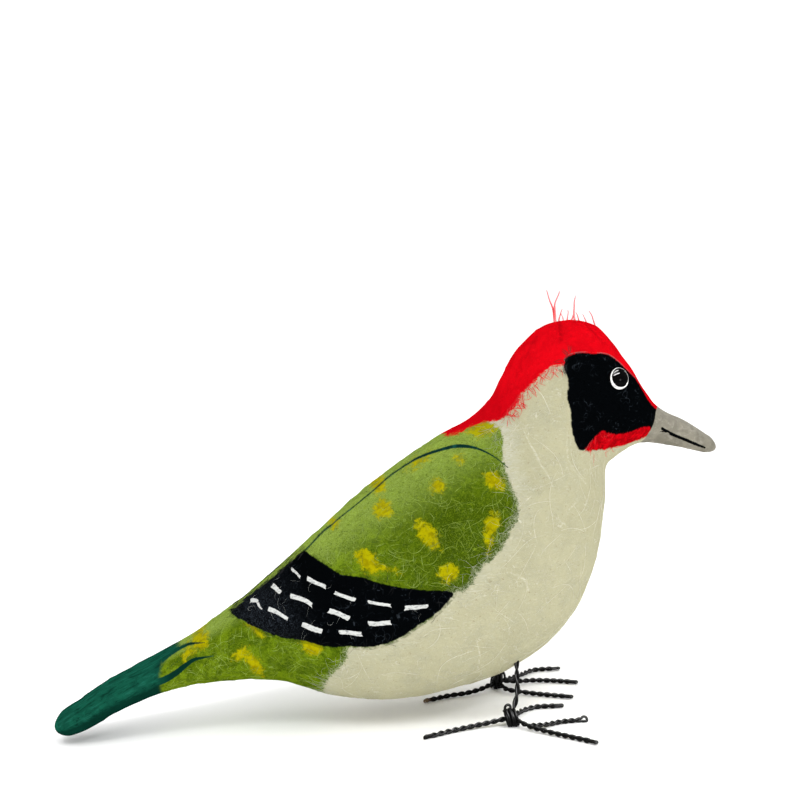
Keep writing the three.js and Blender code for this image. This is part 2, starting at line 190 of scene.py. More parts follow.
# Lines drawn with a brush: points, and half widths along the line
BRUSH_LINES = {
    "wing": (
        [
            (87, 60.2), (97.5, 69.2), (113.2, 80.7), (122, 86.6), (128, 89.8),
            (135.5, 92.4), (140.5, 93.2), (145.5, 92.4), (150, 90), (154, 86.4),
        ],
        (0.14, 0.13, 0.14, 0.18, 0.28, 0.42, 0.52, 0.36, 0.2, 0.1),
    ),
    "upper tail": (
        [(37.4, 27.4), (40.6, 29.0), (44.2, 30.6), (47.6, 31.9), (52.2, 32.8)],
        (0.9, 0.5, 0.3, 0.26, 0.06),
    ),
    "lower tail": (
        [(34.5, 20.6), (38.5, 21.9), (42.3, 23.9), (45.5, 26.2), (48.4, 27.9), (51.2, 28.5), (55.3, 29.2)],
        (1.3, 1.1, 0.95, 0.75, 0.5, 0.34, 0.06),
    ),
    "mouth": (
        [(210.9, 94.1), (213.4, 92.4), (216.6, 90.7), (220.1, 89.1), (224, 87.2), (227.6, 85.6)],
        (0.4, 0.62, 0.5, 0.52, 0.5, 0.3),
    ),
    "mouth fork": ([(210.2, 92.6), (211.8, 92.7), (213.6, 92.2)], (0.08, 0.2, 0.25)),
}
# Creases of the red paper; the red is darkened along them as painted shade
CREASES = {
    "crown": ([(178.6, 133.5), (177.6, 131), (176.7, 128.6), (175.8, 124.8)], (0.7, 0.5, 0.36, 0.2)),
    "over the eye": (
        [(186.2, 130.6), (188.3, 127.6), (189.6, 125.4), (190.1, 123.3)],
        (0.2, 0.3, 0.25, 0.1),
    ),
    "forehead": ([(192.4, 127.5), (194.8, 124.5), (197.3, 121.3)], (0.1, 0.18, 0.05)),
    "nape": ([(170.2, 128.1), (167, 124.4), (164.4, 120.4)], (0.05, 0.16, 0.05)),
}
# Raised folds of the cream paper; the cream is also lightened along them as a painted highlight
FOLDS = {
    "neck": (
        [(160, 99.1), (161.3, 94.6), (163.2, 90.2), (164.2, 87.2), (165.8, 84.6), (167.9, 78.9)],
        (0.05, 0.18, 0.28, 0.16, 0.24, 0.05),
    ),
    "throat": (
        [(174.5, 97.4), (173.8, 92), (174.2, 87), (178, 81.4), (181.5, 77.5)],
        (0.05, 0.12, 0.15, 0.2, 0.05),
    ),
    "breast": ([(170.6, 70.6), (173.3, 72.7), (175.9, 74.4), (177.6, 75.8)], (0.05, 0.2, 0.2, 0.05)),
    "lower breast": ([(164.5, 72.6), (167.8, 70.1), (171.7, 66.6), (173.8, 62.6)], (0.05, 0.18, 0.14, 0.05)),
    "flank": ([(148.1, 54.5), (153.2, 53.2), (156.7, 50.1), (157.2, 45.1)], (0.1, 0.25, 0.3, 0.08)),
    "belly": ([(139.8, 32.1), (141.2, 26.5), (141.1, 20.7), (143.7, 16.1)], (0.05, 0.25, 0.2, 0.05)),
    "hind belly": ([(132.8, 32.5), (134.9, 29), (134.8, 23.3)], (0.05, 0.18, 0.05)),
}
# Yellow dabs: middle x and z, half length, half width, tilt in degrees
DABS = [
    (113.1, 81.0, 2.6, 1.9, 60), (113.2, 74.4, 3.0, 2.5, 35), (131.1, 81.6, 2.4, 1.8, 40),
    (148.8, 82.5, 3.2, 2.3, -35), (126.3, 66.7, 4.4, 2.4, -58), (146.6, 69.4, 3.4, 2.2, 60),
    (145.4, 65.6, 3.0, 1.0, 75), (106.8, 58.9, 4.2, 2.7, -42), (111.2, 57.0, 3.2, 0.9, -15),
    (131.6, 54.9, 3.0, 2.6, 20), (148.1, 98.1, 4.2, 1.9, 12), (127.1, 88.4, 3.4, 0.8, 30),
    (97.5, 69.0, 1.4, 0.9, 35), (139.1, 89.6, 1.5, 1.1, 20), (68.9, 37.3, 2.2, 0.9, -30),
    (87.1, 31.7, 3.2, 2.6, -40), (68.2, 25.6, 4.6, 2.0, -68), (63.8, 29.4, 2.6, 1.6, 40),
    (50.6, 33.0, 3.0, 2.2, 40), (46.4, 29.4, 2.0, 1.3, 60),
]
# White strips on the wing: middle x and z, tilt in degrees, length, width, sag
STRIPS = [
    (83.6, 54.3, -36, 3.6, 0.85, 0), (76.9, 49.3, -30, 3.4, 1.5, 0), (69.3, 44.9, 12, 3.0, 0.9, 0.4),
    (70.9, 44.1, -52, 2.2, 0.8, 0), (89.9, 52.0, -22, 6.9, 1.35, 0.1), (98.7, 48.4, -19, 7.5, 1.2, -0.3),
    (109.3, 45.9, -11, 8.0, 1.1, 0.1), (120.9, 44.5, 3, 8.2, 1.45, 0.1), (84.6, 46.6, -20, 8.0, 1.5, 0.6),
    (96.4, 42.7, -22, 7.6, 1.75, 0.1), (109.0, 39.8, 1, 7.9, 1.6, -0.1), (76.9, 42.4, -24, 7.4, 1.35, 0.2),
    (87.5, 38.3, -20, 7.4, 1.7, 0), (99.6, 36.7, -6, 8.0, 1.5, 0),
]

STATION_TABLE = np.array(list(STATIONS.values()), float)
STATION_COUNT = len(STATION_TABLE)


def curve_points(points, us):
    """A smooth curve through points, read at the shares us of its stations."""
    points = np.asarray(points, float)
    last = len(points) - 1
    padded = np.vstack([2 * points[0] - points[1], points, 2 * points[last] - points[last - 1]])
    at = np.clip(np.asarray(us, float), 0, 1) * last
    index = np.minimum(at.astype(int), last - 1)
    t = (at - index)[:, None]
    p0, p1, p2, p3 = (padded[index + k] for k in range(4))
    slope1, slope2 = 0.5 * (p2 - p0), 0.5 * (p3 - p1)
    square = -3 * p1 + 3 * p2 - 2 * slope1 - slope2
    cube = 2 * p1 - 2 * p2 + slope1 + slope2
    return p1 + slope1 * t + square * t**2 + cube * t**3


def profile(us):
    """Top and bottom points and the section's width, low and square at us."""
    top = curve_points(STATION_TABLE[:, 0:2] / 100 * BODY_LENGTH + (0, BELLY_CLEARANCE), us)
    bottom = curve_points(STATION_TABLE[:, 2:4] / 100 * BODY_LENGTH + (0, BELLY_CLEARANCE), us)
    return top, bottom, curve_points(STATION_TABLE[:, 4:7], us)


def end_scale(distance, rounding):
    """How far a rounded end has grown at a distance from its tip, from 0 to 1."""
    return np.sqrt(np.clip(1 - np.clip(1 - distance / rounding, 0, 1) ** 2, 0, 1))


def body_points(us, angles):
    """The body's smooth surface at every pair of us and angles, in the bird's measures."""
    top, bottom, form = profile(us)
    middle = (top + bottom) / 2
    tips_top, tips_bottom, _ = profile([0, 1])
    tips = (tips_top + tips_bottom) / 2
    scale = end_scale(np.linalg.norm(middle - tips[0], axis=1), TAIL_ROUNDING)
    scale *= end_scale(np.linalg.norm(middle - tips[1], axis=1), BEAK_ROUNDING)
    power = (2 / form[:, 2])[:, None]
    cos, sin = np.cos(angles)[None, :], np.sin(angles)[None, :]
    across = np.sign(cos) * np.abs(cos) ** power
    rise = np.sign(sin) * np.abs(sin) ** power - form[:, 1][:, None] * across**2
    half = ((top - bottom) / 2)[:, None, :]
    xz = middle[:, None, :] + half * (rise * scale[:, None])[:, :, None]
    y = 0.5 * BODY_WIDTH * form[:, 0][:, None] * across * scale[:, None]
    return np.stack([xz[:, :, 0], y, xz[:, :, 1]], axis=2)


def arc_lengths(points):
    """How far along their line each of the points lies."""
    return np.concatenate([[0], np.cumsum(np.linalg.norm(np.diff(points, axis=0), axis=1))])


def ring_places():
    """Shares along the body, evenly spaced along its outline and close together at round ends."""
    fine = np.linspace(0, 1, 2000)
    top, bottom, _ = profile(fine)
    outline = (arc_lengths(top) + arc_lengths(bottom)) / 2
    arc = arc_lengths((top + bottom) / 2)
    turn = (np.arange(1, END_RINGS + 1) / END_RINGS) * math.pi / 2
    tail = np.interp(TAIL_ROUNDING * (1 - np.cos(turn)), arc, fine)
    beak = np.interp(arc[-1] - BEAK_ROUNDING * (1 - np.cos(turn)), arc, fine)[::-1]
    spread = np.linspace(np.interp(tail[-1], fine, outline), np.interp(beak[0], fine, outline), SKIN_RINGS)
    return np.concatenate([tail[:-1], np.interp(spread, outline, fine), beak[1:]])


BODY_LOW, BODY_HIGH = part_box("body")
ORIGIN = Vector((BODY_HIGH.x - BODY_LENGTH * MM, (BODY_LOW.y + BODY_HIGH.y) / 2, 0))


def place(x, y, z):
    """A point in the part's frame, in metres, from one in the bird's measures."""
    return ORIGIN + Vector((x, y, z)) * MM


# Colours, as light that the surface sends back
CREAM = (0.398, 0.380, 0.248)
CREAM_SHADE = (0.376, 0.359, 0.232)
CREAM_GREY = (0.356, 0.348, 0.241)
CREAM_LIGHT = (0.64, 0.63, 0.50)
CREAM_SPECK = (0.27, 0.24, 0.14)
CLOUD = (0.53, 0.53, 0.44)
FELT = (0.42, 0.43, 0.31)
GREEN = (0.122, 0.192, 0.005)
GREEN_DEEP = (0.060, 0.104, 0.0028)
GREEN_DARK = (0.034, 0.060, 0.0018)
GREEN_LIGHT = (0.180, 0.260, 0.012)
GREEN_PALE = (0.265, 0.365, 0.068)
YELLOW = (0.37, 0.34, 0.0015)
YELLOW_DEEP = (0.245, 0.205, 0.001)
TEAL = (0.0058, 0.078, 0.047)
TEAL_DEEP = (0.0045, 0.058, 0.036)
TEAL_DARK = (0.0018, 0.022, 0.014)
TEAL_LIGHT = (0.014, 0.12, 0.08)
LINE_GREEN = (0.0025, 0.022, 0.017)
LINE_LIGHT = (0.010, 0.075, 0.055)
BLACK = (0.0010, 0.0014, 0.0018)
BLACK_WORN = (0.030, 0.037, 0.046)
RIM_GREY = (0.22, 0.13, 0.13)
RED = (0.62, 0.0018, 0.0065)
RED_DEEP = (0.52, 0.0015, 0.0055)
RED_DARK = (0.36, 0.001, 0.004)
# darker red for the low parts of the red paper: painted shade
RED_LOW_SHADE = (0.46, 0.0012, 0.005)
RED_LIGHT = (0.72, 0.012, 0.02)
RED_CREASE_SHADE = (0.13, 0.001, 0.003)
MOUSTACHE = (0.27, 0.0010, 0.003)
BEAK = (0.250, 0.234, 0.186)
BEAK_DARK = (0.182, 0.171, 0.135)
BEAK_LIGHT = (0.355, 0.335, 0.290)
BEAD = (0.0003, 0.0003, 0.0004)
BEAD_SPECK = (0.001, 0.001, 0.0013)
WIRE_PAINT = (0.0015, 0.0015, 0.0015)
WIRE_SCRATCH = (0.009, 0.009, 0.009)
RUST = (0.17, 0.11, 0.06)
RING_WHITE, RING_THIN = (0.72, 0.72, 0.70), (0.40, 0.40, 0.40)
STRIP_WHITE, STRIP_THIN = (0.50, 0.51, 0.49), (0.20, 0.21, 0.21)
CREST_RED, CREST_DEEP = (0.72, 0.01, 0.015), (0.5, 0.02, 0.03)
PALE_END = (0.52, 0.505, 0.37)
FELT_DEEP = (0.32, 0.35, 0.23)
HAIR_LIGHT = (0.004, 0.005, 0.006)
FLOSS, FLOSS_DEEP = (0.42, 0.43, 0.40), (0.25, 0.26, 0.25)
FLOOR_WHITE = (0.93, 0.93, 0.93)


# Materials
class Look:
    """A material whose nodes are added by short calls."""

    def __init__(self, name, roughness=0.8, **settings):
        self.material = bpy.data.materials.new(name)
        self.material.use_nodes = True
        self.tree = self.material.node_tree
        self.shader = self.tree.nodes["Principled BSDF"]
        self.shader.inputs["Roughness"].default_value = roughness
        for key, value in settings.items():
            self.shader.inputs[key.replace("_", " ")].default_value = value

    def node(self, kind, **values):
        made = self.tree.nodes.new(kind)
        for key, value in values.items():
            setattr(made, key, value)
        return made

    def link(self, source, target):
        self.tree.links.new(source, target)

    def feed(self, socket, value):
        if isinstance(value, bpy.types.NodeSocket):
            self.link(value, socket)
        elif isinstance(value, tuple) and len(value) == 3 and socket.type == "RGBA":
            socket.default_value = (*value, 1)
        else:
            socket.default_value = value

    def attribute(self, name):
        return self.node("ShaderNodeAttribute", attribute_name=name).outputs["Fac"]

    def where(self, stretch, slope):
        """The place on the object, squeezed by stretch along axes that rise by slope in degrees."""
        mapping = self.node("ShaderNodeMapping", vector_type="TEXTURE")
        mapping.inputs["Rotation"].default_value = (0, -math.radians(slope), 0)
        mapping.inputs["Scale"].default_value = [1 / share for share in stretch]
        self.link(self.node("ShaderNodeTexCoord").outputs["Object"], mapping.inputs["Vector"])
        return mapping.outputs["Vector"]

    def noise(self, size, detail=2.0, roughness=0.5, stretch=(1, 1, 1), warp=0.0, slope=0.0):
        """Noise whose blobs are about size millimetres across, from about 0 to 1."""
        made = self.node("ShaderNodeTexNoise")
        settings = {"Scale": 1 / (size * MM), "Detail": detail, "Roughness": roughness, "Distortion": warp}
        for name, value in {**settings, "Vector": self.where(stretch, slope)}.items():
            self.feed(made.inputs[name], value)
        return made.outputs["Fac"]

    def math(self, operation, a, b=0.0, clamp=False):
        made = self.node("ShaderNodeMath", operation=operation, use_clamp=clamp)
        self.feed(made.inputs[0], a)
        self.feed(made.inputs[1], b)
        return made.outputs[0]

    def times(self, a, b, clamp=False):
        return self.math("MULTIPLY", a, b, clamp)

    def plus(self, a, b):
        return self.math("ADD", a, b)

    def away(self, value, share, middle=0.5):
        """How far value is from its middle, times share."""
        return self.times(self.math("SUBTRACT", value, middle), share)

    def ramp(self, value, low, high, start=0.0, end=1.0):
        """value spread from low..high to start..end, smoothly and without overshoot."""
        made = self.node("ShaderNodeMapRange", interpolation_type="SMOOTHSTEP")
        for socket, number in zip(("From Min", "From Max", "To Min", "To Max"), (low, high, start, end)):
            self.feed(made.inputs[socket], number)
        self.feed(made.inputs["Value"], value)
        return made.outputs["Result"]

    def mix(self, share, a, b):
        made = self.node("ShaderNodeMix", data_type="RGBA")
        for i, value in ((0, share), (6, a), (7, b)):
            self.feed(made.inputs[i], value)
        return made.outputs[2]

    def layers(self, colour, *steps):
        """colour under others: each step is a colour with its share, or with a value to ramp."""
        for over, value, *reach in steps:
            colour = self.mix(self.ramp(value, *reach) if reach else value, colour, over)
        return colour

    def strand(self, size, width, warp):
        """Thin curly lines, as of fibres in paper: 1 on a line, 0 off it."""
        away = self.away(self.noise(size, detail=1, roughness=0.4, warp=warp), 1)
        return self.ramp(self.math("ABSOLUTE", away), 0, width, 1, 0)

    def wear(self, colour):
        self.link(colour, self.shader.inputs["Base Color"])

    def roughen(self, value, *reach):
        self.link(self.ramp(value, *reach), self.shader.inputs["Roughness"])

    def bump(self, height, distance_mm, strength=1.0):
        made = self.node("ShaderNodeBump")
        made.inputs["Strength"].default_value = strength
        made.inputs["Distance"].default_value = distance_mm * MM
        self.link(height, made.inputs["Height"])
        self.link(made.outputs["Normal"], self.shader.inputs["Normal"])


def painted_paper():
    """The covering of the body: torn coloured papers and brush paint over papier-mache."""
    look = Look("painted_paper", roughness=0.85, Specular_IOR_Level=0.0)
    at, ramp, layers = look.attribute, look.ramp, look.layers
    times, plus, away = look.times, look.plus, look.away
    fine = look.noise(0.6, detail=4, roughness=0.7)
    small = look.noise(2.0, detail=4, roughness=0.6, warp=0.6)
    patchy = look.noise(6, detail=4, roughness=0.6, warp=0.8)
    broad = look.noise(20, detail=3)
    streaks = look.noise(1.0, detail=4, roughness=0.7, stretch=(0.3, 1, 1.5), warp=1.4)
    bristles = look.noise(0.7, detail=3, roughness=0.7, stretch=(1.5, 1, 0.35), warp=0.8)
    wool = look.noise(1.0, detail=3, roughness=0.7, warp=2.6)
    grain = look.noise(1.3, detail=4, roughness=0.65, stretch=(0.2, 1, 1), warp=0.5, slope=TAIL_SLOPE)
    strands = look.math("MAXIMUM", look.strand(4.5, 0.012, warp=1.2), look.strand(2.6, 0.012, warp=1.8))
    strands = times(strands, ramp(look.noise(7), 0.42, 0.58))
    hairs = look.strand(1.5, 0.022, warp=1.2)
    curls = look.strand(2.0, 0.045, warp=2.4)
    torn = plus(away(plus(streaks, small), 3.4, middle=1.0), away(wool, 2.0))
    crisp = away(small, 1.3)
    up, mask_top = at("up"), at("mask_top")
    crease = ramp(at("crease"), -0.5, 0.4)

    def region(name, edge, softness):
        """1 inside an outline, 0 outside it, with its border moved by edge."""
        return ramp(plus(at(name), edge), -softness, softness)

    def rim(name, shift, outer, inner):
        """A band along an outline, shift outside it."""
        return ramp(look.math("ABSOLUTE", plus(at(name), shift)), outer, inner)

    cloud = times(ramp(at("green"), -7, -0.5), ramp(streaks, 0.36, 0.6, 0.1, 0.6))
    cream = layers(
        CREAM,
        (CREAM_SHADE, broad, 0.35, 0.7),
        (CREAM_GREY, patchy, 0.45, 0.7, 0, 0.5),
        (CREAM_LIGHT, times(hairs, 0.2)),
        (CREAM_LIGHT, times(strands, 0.55)),
        (CREAM_LIGHT, streaks, 0.55, 0.7, 0, 0.3),
        (CREAM_GREY, wool, 0.42, 0.30, 0, 0.5),
        (CREAM_LIGHT, wool, 0.62, 0.72, 0, 0.35),
        (CLOUD, times(cloud, ramp(mask_top, -3.5, -1.5, 0.4, 1))),
        # the cream lightened along the raised folds: a painted highlight on their ridges
        (CREAM_LIGHT, times(ramp(at("fold"), -0.25, 0.15), ramp(streaks, 0.4, 0.6, 0.15, 0.6))),
        (CREAM_SPECK, look.noise(0.7, detail=1), 0.69, 0.75, 0, 0.7),
    )
    felt = plus(ramp(wool, 0.48, 0.62, 0, 0.6), times(curls, 0.7))
    felt = times(ramp(at("green"), 2.4, 0.2, 0, 0.8), felt, clamp=True)
    green = layers(
        GREEN_DEEP,
        (GREEN, patchy, 0.42, 0.57),
        (GREEN_DARK, small, 0.46, 0.62, 0, 0.6),
        # the green darker towards the front and bottom of the flank: painted shade
        (GREEN_DARK, times(at("shade"), ramp(patchy, 0.25, 0.6, 0.35, 1))),
        # paler green on the top of the back, where the surface faces up: a painted highlight
        (GREEN_PALE, times(ramp(up, 0.62, 0.97), ramp(streaks, 0.3, 0.6, 0.4, 0.95))),
        (GREEN_DARK, wool, 0.50, 0.36, 0, 0.75),
        (GREEN_LIGHT, wool, 0.56, 0.70, 0, 0.55),
        (GREEN_LIGHT, times(curls, 0.45)),
        (GREEN_PALE, times(strands, 0.5)),
        (FELT, times(felt, ramp(mask_top, -1.4, -2.4))),
    )
    yellow = layers(YELLOW_DEEP, (YELLOW, small, 0.35, 0.62), (YELLOW_DEEP, wool, 0.45, 0.32, 0, 0.6))
    dabs = region("yellow", plus(away(wool, 3.0), away(small, 5.0)), 0.8)
    teal = layers(
        TEAL,
        (TEAL_DEEP, patchy, 0.4, 0.62),
        (TEAL_LIGHT, grain, 0.52, 0.66, 0, 0.55),
        (TEAL_DARK, grain, 0.47, 0.36, 0, 0.75),
        (TEAL_LIGHT, times(hairs, 0.2)),
        # the tail darker on its underside, where it faces down: painted shade
        (TEAL_DARK, plus(up, times(plus(small, patchy), 0.3)), 0.42, 0.05, 0, 0.9),
    )
    brush = look.math("SUBTRACT", at("line_width"), look.math("ABSOLUTE", at("line_offset")))
    brush = ramp(plus(brush, away(fine, 0.5)), -0.14, 0.14)
    stroke = layers(
        LINE_GREEN,
        (LINE_LIGHT, small, 0.5, 0.7),
        (TEAL_DARK, at("tail"), -12, -7),
        (TEAL_DEEP, at("tail"), -4, -0.5, 0, 0.6),
    )
    black = layers(
        BLACK,
        (BLACK_WORN, times(ramp(wool, 0.45, 0.7), ramp(at("scuff"), 0, 1))),
        (BLACK_WORN, times(look.strand(3.0, 0.014, warp=1.0), ramp(patchy, 0.5, 0.6, 0, 0.7))),
    )
    red = layers(
        RED,
        (RED_DEEP, patchy, 0.4, 0.65),
        # the red darker the lower it lies, on the nape and the forehead's strip: painted shade
        (RED_LOW_SHADE, mask_top, 1.2, -0.6, 0, 0.75),
        (RED_DARK, bristles, 0.55, 0.75, 0, 0.35),
        (RED_LIGHT, times(hairs, 0.25)),
        # the red darkened along its creases: painted shade
        (RED_CREASE_SHADE, times(crease, 0.38)),
    )
    halo = times(rim("mask", 0.12, 0.4, 0.1), ramp(mask_top, 0, 1, 0, 0.6))
    moustache = layers(MOUSTACHE, (RED_DEEP, small, 0.4, 0.65), (RED_DARK, bristles, 0.56, 0.7, 0, 0.5))
    beak = layers(
        BEAK,
        (BEAK_DARK, patchy, 0.35, 0.65),
        # the beak lighter on its top, where it faces up: a painted highlight
        (BEAK_LIGHT, up, 0.35, 1.0, 0, 0.35),
        (BEAK_DARK, streaks, 0.5, 0.7, 0, 0.5),
        (BEAK_LIGHT, small, 0.52, 0.68, 0, 0.5),
        (BEAK_DARK, wool, 0.46, 0.32, 0, 0.5),
    )
    look.wear(layers(
        cream,
        (green, region("green", torn, 0.3)),
        (yellow, times(dabs, ramp(wool, 0.28, 0.46, 0.7, 0.96))),
        (stroke, brush),
        (teal, region("tail", crisp, 0.9)),
        (GREEN_DARK, times(rim("wing", 0.5, 0.7, 0.2), ramp(small, 0.4, 0.6, 0, 0.5))),
        (black, region("wing", times(crisp, 0.9), 0.25)),
        (red, region("red", times(torn, 0.6), 0.35)),
        (RIM_GREY, times(halo, ramp(small, 0.4, 0.6))),
        (black, region("mask", times(crisp, 0.9), 0.25)),
        (moustache, region("moustache", plus(crisp, away(bristles, 1.5)), 0.35)),
        (beak, region("beak", times(crisp, 0.3), 0.2)),
        (BLACK, times(brush, ramp(at("beak"), -0.5, 0.5))),
    ))
    dark = look.math("MAXIMUM", region("wing", crisp, 0.3), region("mask", crisp, 0.3))
    look.roughen(dark, 0, 1, 0.86, 0.6)
    height = times(grain, ramp(at("tail"), -1, 1, 0, 1.6))
    relief = ((fine, 0.35), (streaks, 0.5), (strands, 0.5), (hairs, 0.2), (patchy, 1.6), (wool, 0.9))
    for grains, share in (*relief, (crease, -0.8)):
        height = plus(height, times(grains, share))
    look.bump(height, 0.3, 0.85)
    return look.material


# Distances on the side view, in millimetres; FAR is further than any on the bird, and no distance
# is kept beyond LIMIT
FAR = 1e9
LIMIT = 12


def smooth_outline(points, per_side=4):
    """A closed smooth curve through points."""
    points = np.asarray(points, float)
    around = np.vstack([points[-2:], points, points[:3]])
    us = np.linspace(0, 1, (len(around) - 1) * per_side + 1)
    smooth = curve_points(around, us)
    return smooth[2 * per_side:(2 + len(points)) * per_side]


def inside_distance(places, outline):
    """Distance of each place to a closed outline, positive inside it."""
    best = np.full(len(places), FAR)
    inside = np.zeros(len(places), bool)
    for start, end in zip(outline, np.roll(outline, -1, axis=0)):
        along = end - start
        t = np.clip(((places - start) @ along) / max(along @ along, 1e-9), 0, 1)
        best = np.minimum(best, np.linalg.norm(places - start - t[:, None] * along, axis=1))
        crosses = (start[1] > places[:, 1]) != (end[1] > places[:, 1])
        if start[1] != end[1]:
            reach = start[0] + (places[:, 1] - start[1]) * along[0] / along[1]
            inside ^= crosses & (places[:, 0] < reach)
    return np.where(inside, best, -best)


def line_distances(places, lines):
    """The signed offset of each place from the nearest of the lines, and that line's half width."""
    best = np.full(len(places), FAR)
    offset, width = np.zeros(len(places)), np.zeros(len(places))
    for points, widths in lines.values():
        us = np.linspace(0, 1, 8 * len(points))
        curve = curve_points(points, us)
        halves = curve_points(np.array(widths)[:, None], us)[:, 0]
        for i in range(len(curve) - 1):
            along = curve[i + 1] - curve[i]
            away = places - curve[i]
            t = (away @ along) / (along @ along)
            held = np.clip(t, 0, 1)
            distance = np.linalg.norm(away - held[:, None] * along, axis=1)
            side = np.sign(along[0] * away[:, 1] - along[1] * away[:, 0])
            outside = ((i == 0) & (t < 0)) | ((i == len(curve) - 2) & (t > 1))
            nearer = distance < best
            best[nearer] = distance[nearer]
            offset[nearer] = (side * distance)[nearer]
            here = halves[i] + held * (halves[i + 1] - halves[i])
            width[nearer] = np.where(outside, -distance, here)[nearer]
    return offset, width


def reach_inside(places, lines):
    """How far each place lies inside the width of the nearest line, negative outside it."""
    offset, width = line_distances(places, lines)
    return width - np.abs(offset)


def dab_distance(places):
    """About how far each place lies inside the nearest yellow dab, negative outside it."""
    best = np.full(len(places), -FAR)
    for x, z, length, width, tilt in DABS:
        cos, sin = math.cos(math.radians(tilt)), math.sin(math.radians(tilt))
        away = places - (x, z)
        along, across = away @ (cos, sin), away @ (-sin, cos)
        ratio = np.hypot(along / length, across / width)
        best = np.maximum(best, (1 - ratio) * min(length, width))
    return best


def stand(name, data):
    """An object in the scene, from a mesh, lamp or camera."""
    made = bpy.data.objects.new(name, data)
    bpy.context.scene.collection.objects.link(made)
    return made


def mesh_object(name, points, faces, material, smooth=True):
    mesh = bpy.data.meshes.new(name)
    mesh.from_pydata([tuple(p) for p in points], [], [tuple(f) for f in faces])
    mesh.validate()
    mesh.materials.append(material)
    mesh.shade_smooth() if smooth else mesh.shade_flat()
    return stand(name, mesh)


def write_values(made, name, values):
    """Keeps a number on each point of a mesh, for its look."""
    layer = made.data.attributes.new(name, "FLOAT", "POINT")
    layer.data.foreach_set("value", values.astype(np.float32))


def grid_faces(rows, columns, closed=True, flipped=False):
    """Quads over rows of points, closed round each row or open."""
    faces = []
    for i in range(rows - 1):
        for j in range(columns if closed else columns - 1):
            a, b = i * columns + j, i * columns + (j + 1) % columns
            c, d = b + columns, a + columns
            faces.append((a, d, c, b) if flipped else (a, b, c, d))
    return faces


# Lumps of the papier-mache: size, height and where their noise is read; then its wrinkles and folds
LUMPS = ((17, 0.45, (0, 0, 0)), (6.5, 0.2, (40, 0, 0)), (2.4, 0.06, (0, 60, 0)))
WRINKLES, WRINKLE_WIDTH, WRINKLE_HEIGHT = 13, 0.07, 0.16
FOLD_HEIGHT, FOLD_FOOT = 0.2, 0.5
# The relief is full where the body reaches this far from its middle, and never below a share
FULL_RELIEF_REACH, LEAST_RELIEF = 8, 0.25
# Scuffed paint on the wing: x, z and reach. Painted shade on the green: x and z where it starts, and spans.
SCUFF_X, SCUFF_Z, SCUFF_REACH = 70, 41, 22
SHADE_X, SHADE_Z, SHADE_LONG, SHADE_HIGH = 106, 87, 24, 13
# Height of the mask's middle, and the height above it that counts as one
MASK_MIDDLE, MASK_SPAN = 108, 10


def lumps(point):
    """How far the papier-mache stands out of the smooth form, in millimetres."""
    point = Vector(point)
    wrinkle = noise.noise((point + Vector((0, 20, 90))) / WRINKLES)
    relief = WRINKLE_HEIGHT * max(0, 1 - abs(wrinkle) / WRINKLE_WIDTH)
    for size, height, offset in LUMPS:
        relief += height * noise.noise((point + Vector(offset)) / size)
    return relief


def build_skin():
    """The whole body as one fine skin, with what is painted on it as distances on its points."""
    us = ring_places()
    angles = np.arange(SKIN_SEGMENTS) * 2 * math.pi / SKIN_SEGMENTS
    grid = body_points(us, angles)
    rings = len(us)
    across = np.roll(grid, -1, axis=1) - np.roll(grid, 1, axis=1)
    forward = np.gradient(grid, axis=0)
    normals = np.cross(across, forward)
    normals /= np.linalg.norm(normals, axis=2, keepdims=True) + 1e-12
    flat = grid.reshape(-1, 3)
    heights = np.array([lumps(p) for p in flat])
    heights += FOLD_HEIGHT * np.clip(1 + reach_inside(flat[:, [0, 2]], FOLDS) / FOLD_FOOT, 0, 1)
    width = np.abs(grid[:, :, 1]).max(axis=1)
    calm = np.clip(width / FULL_RELIEF_REACH, LEAST_RELIEF, 1).repeat(SKIN_SEGMENTS)
    flat = flat + normals.reshape(-1, 3) * (heights * calm)[:, None]
    tips = body_points([0, 1], np.array([0.0]))[:, 0, :]
    points = np.vstack([flat, tips])
    faces = grid_faces(rings, SKIN_SEGMENTS)
    last = (rings - 1) * SKIN_SEGMENTS
    for j in range(SKIN_SEGMENTS):
        k = (j + 1) % SKIN_SEGMENTS
        faces.append((len(flat), k, j))
        faces.append((len(flat) + 1, last + j, last + k))
    skin = mesh_object("papier_mache_body", [place(*p) for p in points], faces, painted_paper())
    side = points[:, [0, 2]]
    attributes = {name: inside_distance(side, smooth_outline(line)) for name, line in OUTLINES.items()}
    attributes["yellow"] = dab_distance(side)
    attributes["line_offset"], attributes["line_width"] = line_distances(side, BRUSH_LINES)
    attributes["crease"] = reach_inside(side, CREASES)
    attributes["fold"] = reach_inside(side, FOLDS)
    turn = np.concatenate([np.tile(angles, rings), [0, 0]])
    attributes["up"] = np.sin(turn)
    attributes["scuff"] = 1 - np.hypot(side[:, 0] - SCUFF_X, side[:, 1] - SCUFF_Z) / SCUFF_REACH
    ahead = np.clip((side[:, 0] - SHADE_X) / SHADE_LONG, 0, 1)
    attributes["shade"] = ahead * np.clip((SHADE_Z - side[:, 1]) / SHADE_HIGH, 0, 1)
    attributes["mask_top"] = (side[:, 1] - MASK_MIDDLE) / MASK_SPAN
    for name, values in attributes.items():
        write_values(skin, name, np.clip(values, -LIMIT, LIMIT))
    areas = np.linalg.norm(np.cross(across, forward), axis=2).reshape(-1)
    return skin, attributes, np.concatenate([areas, [0, 0]])


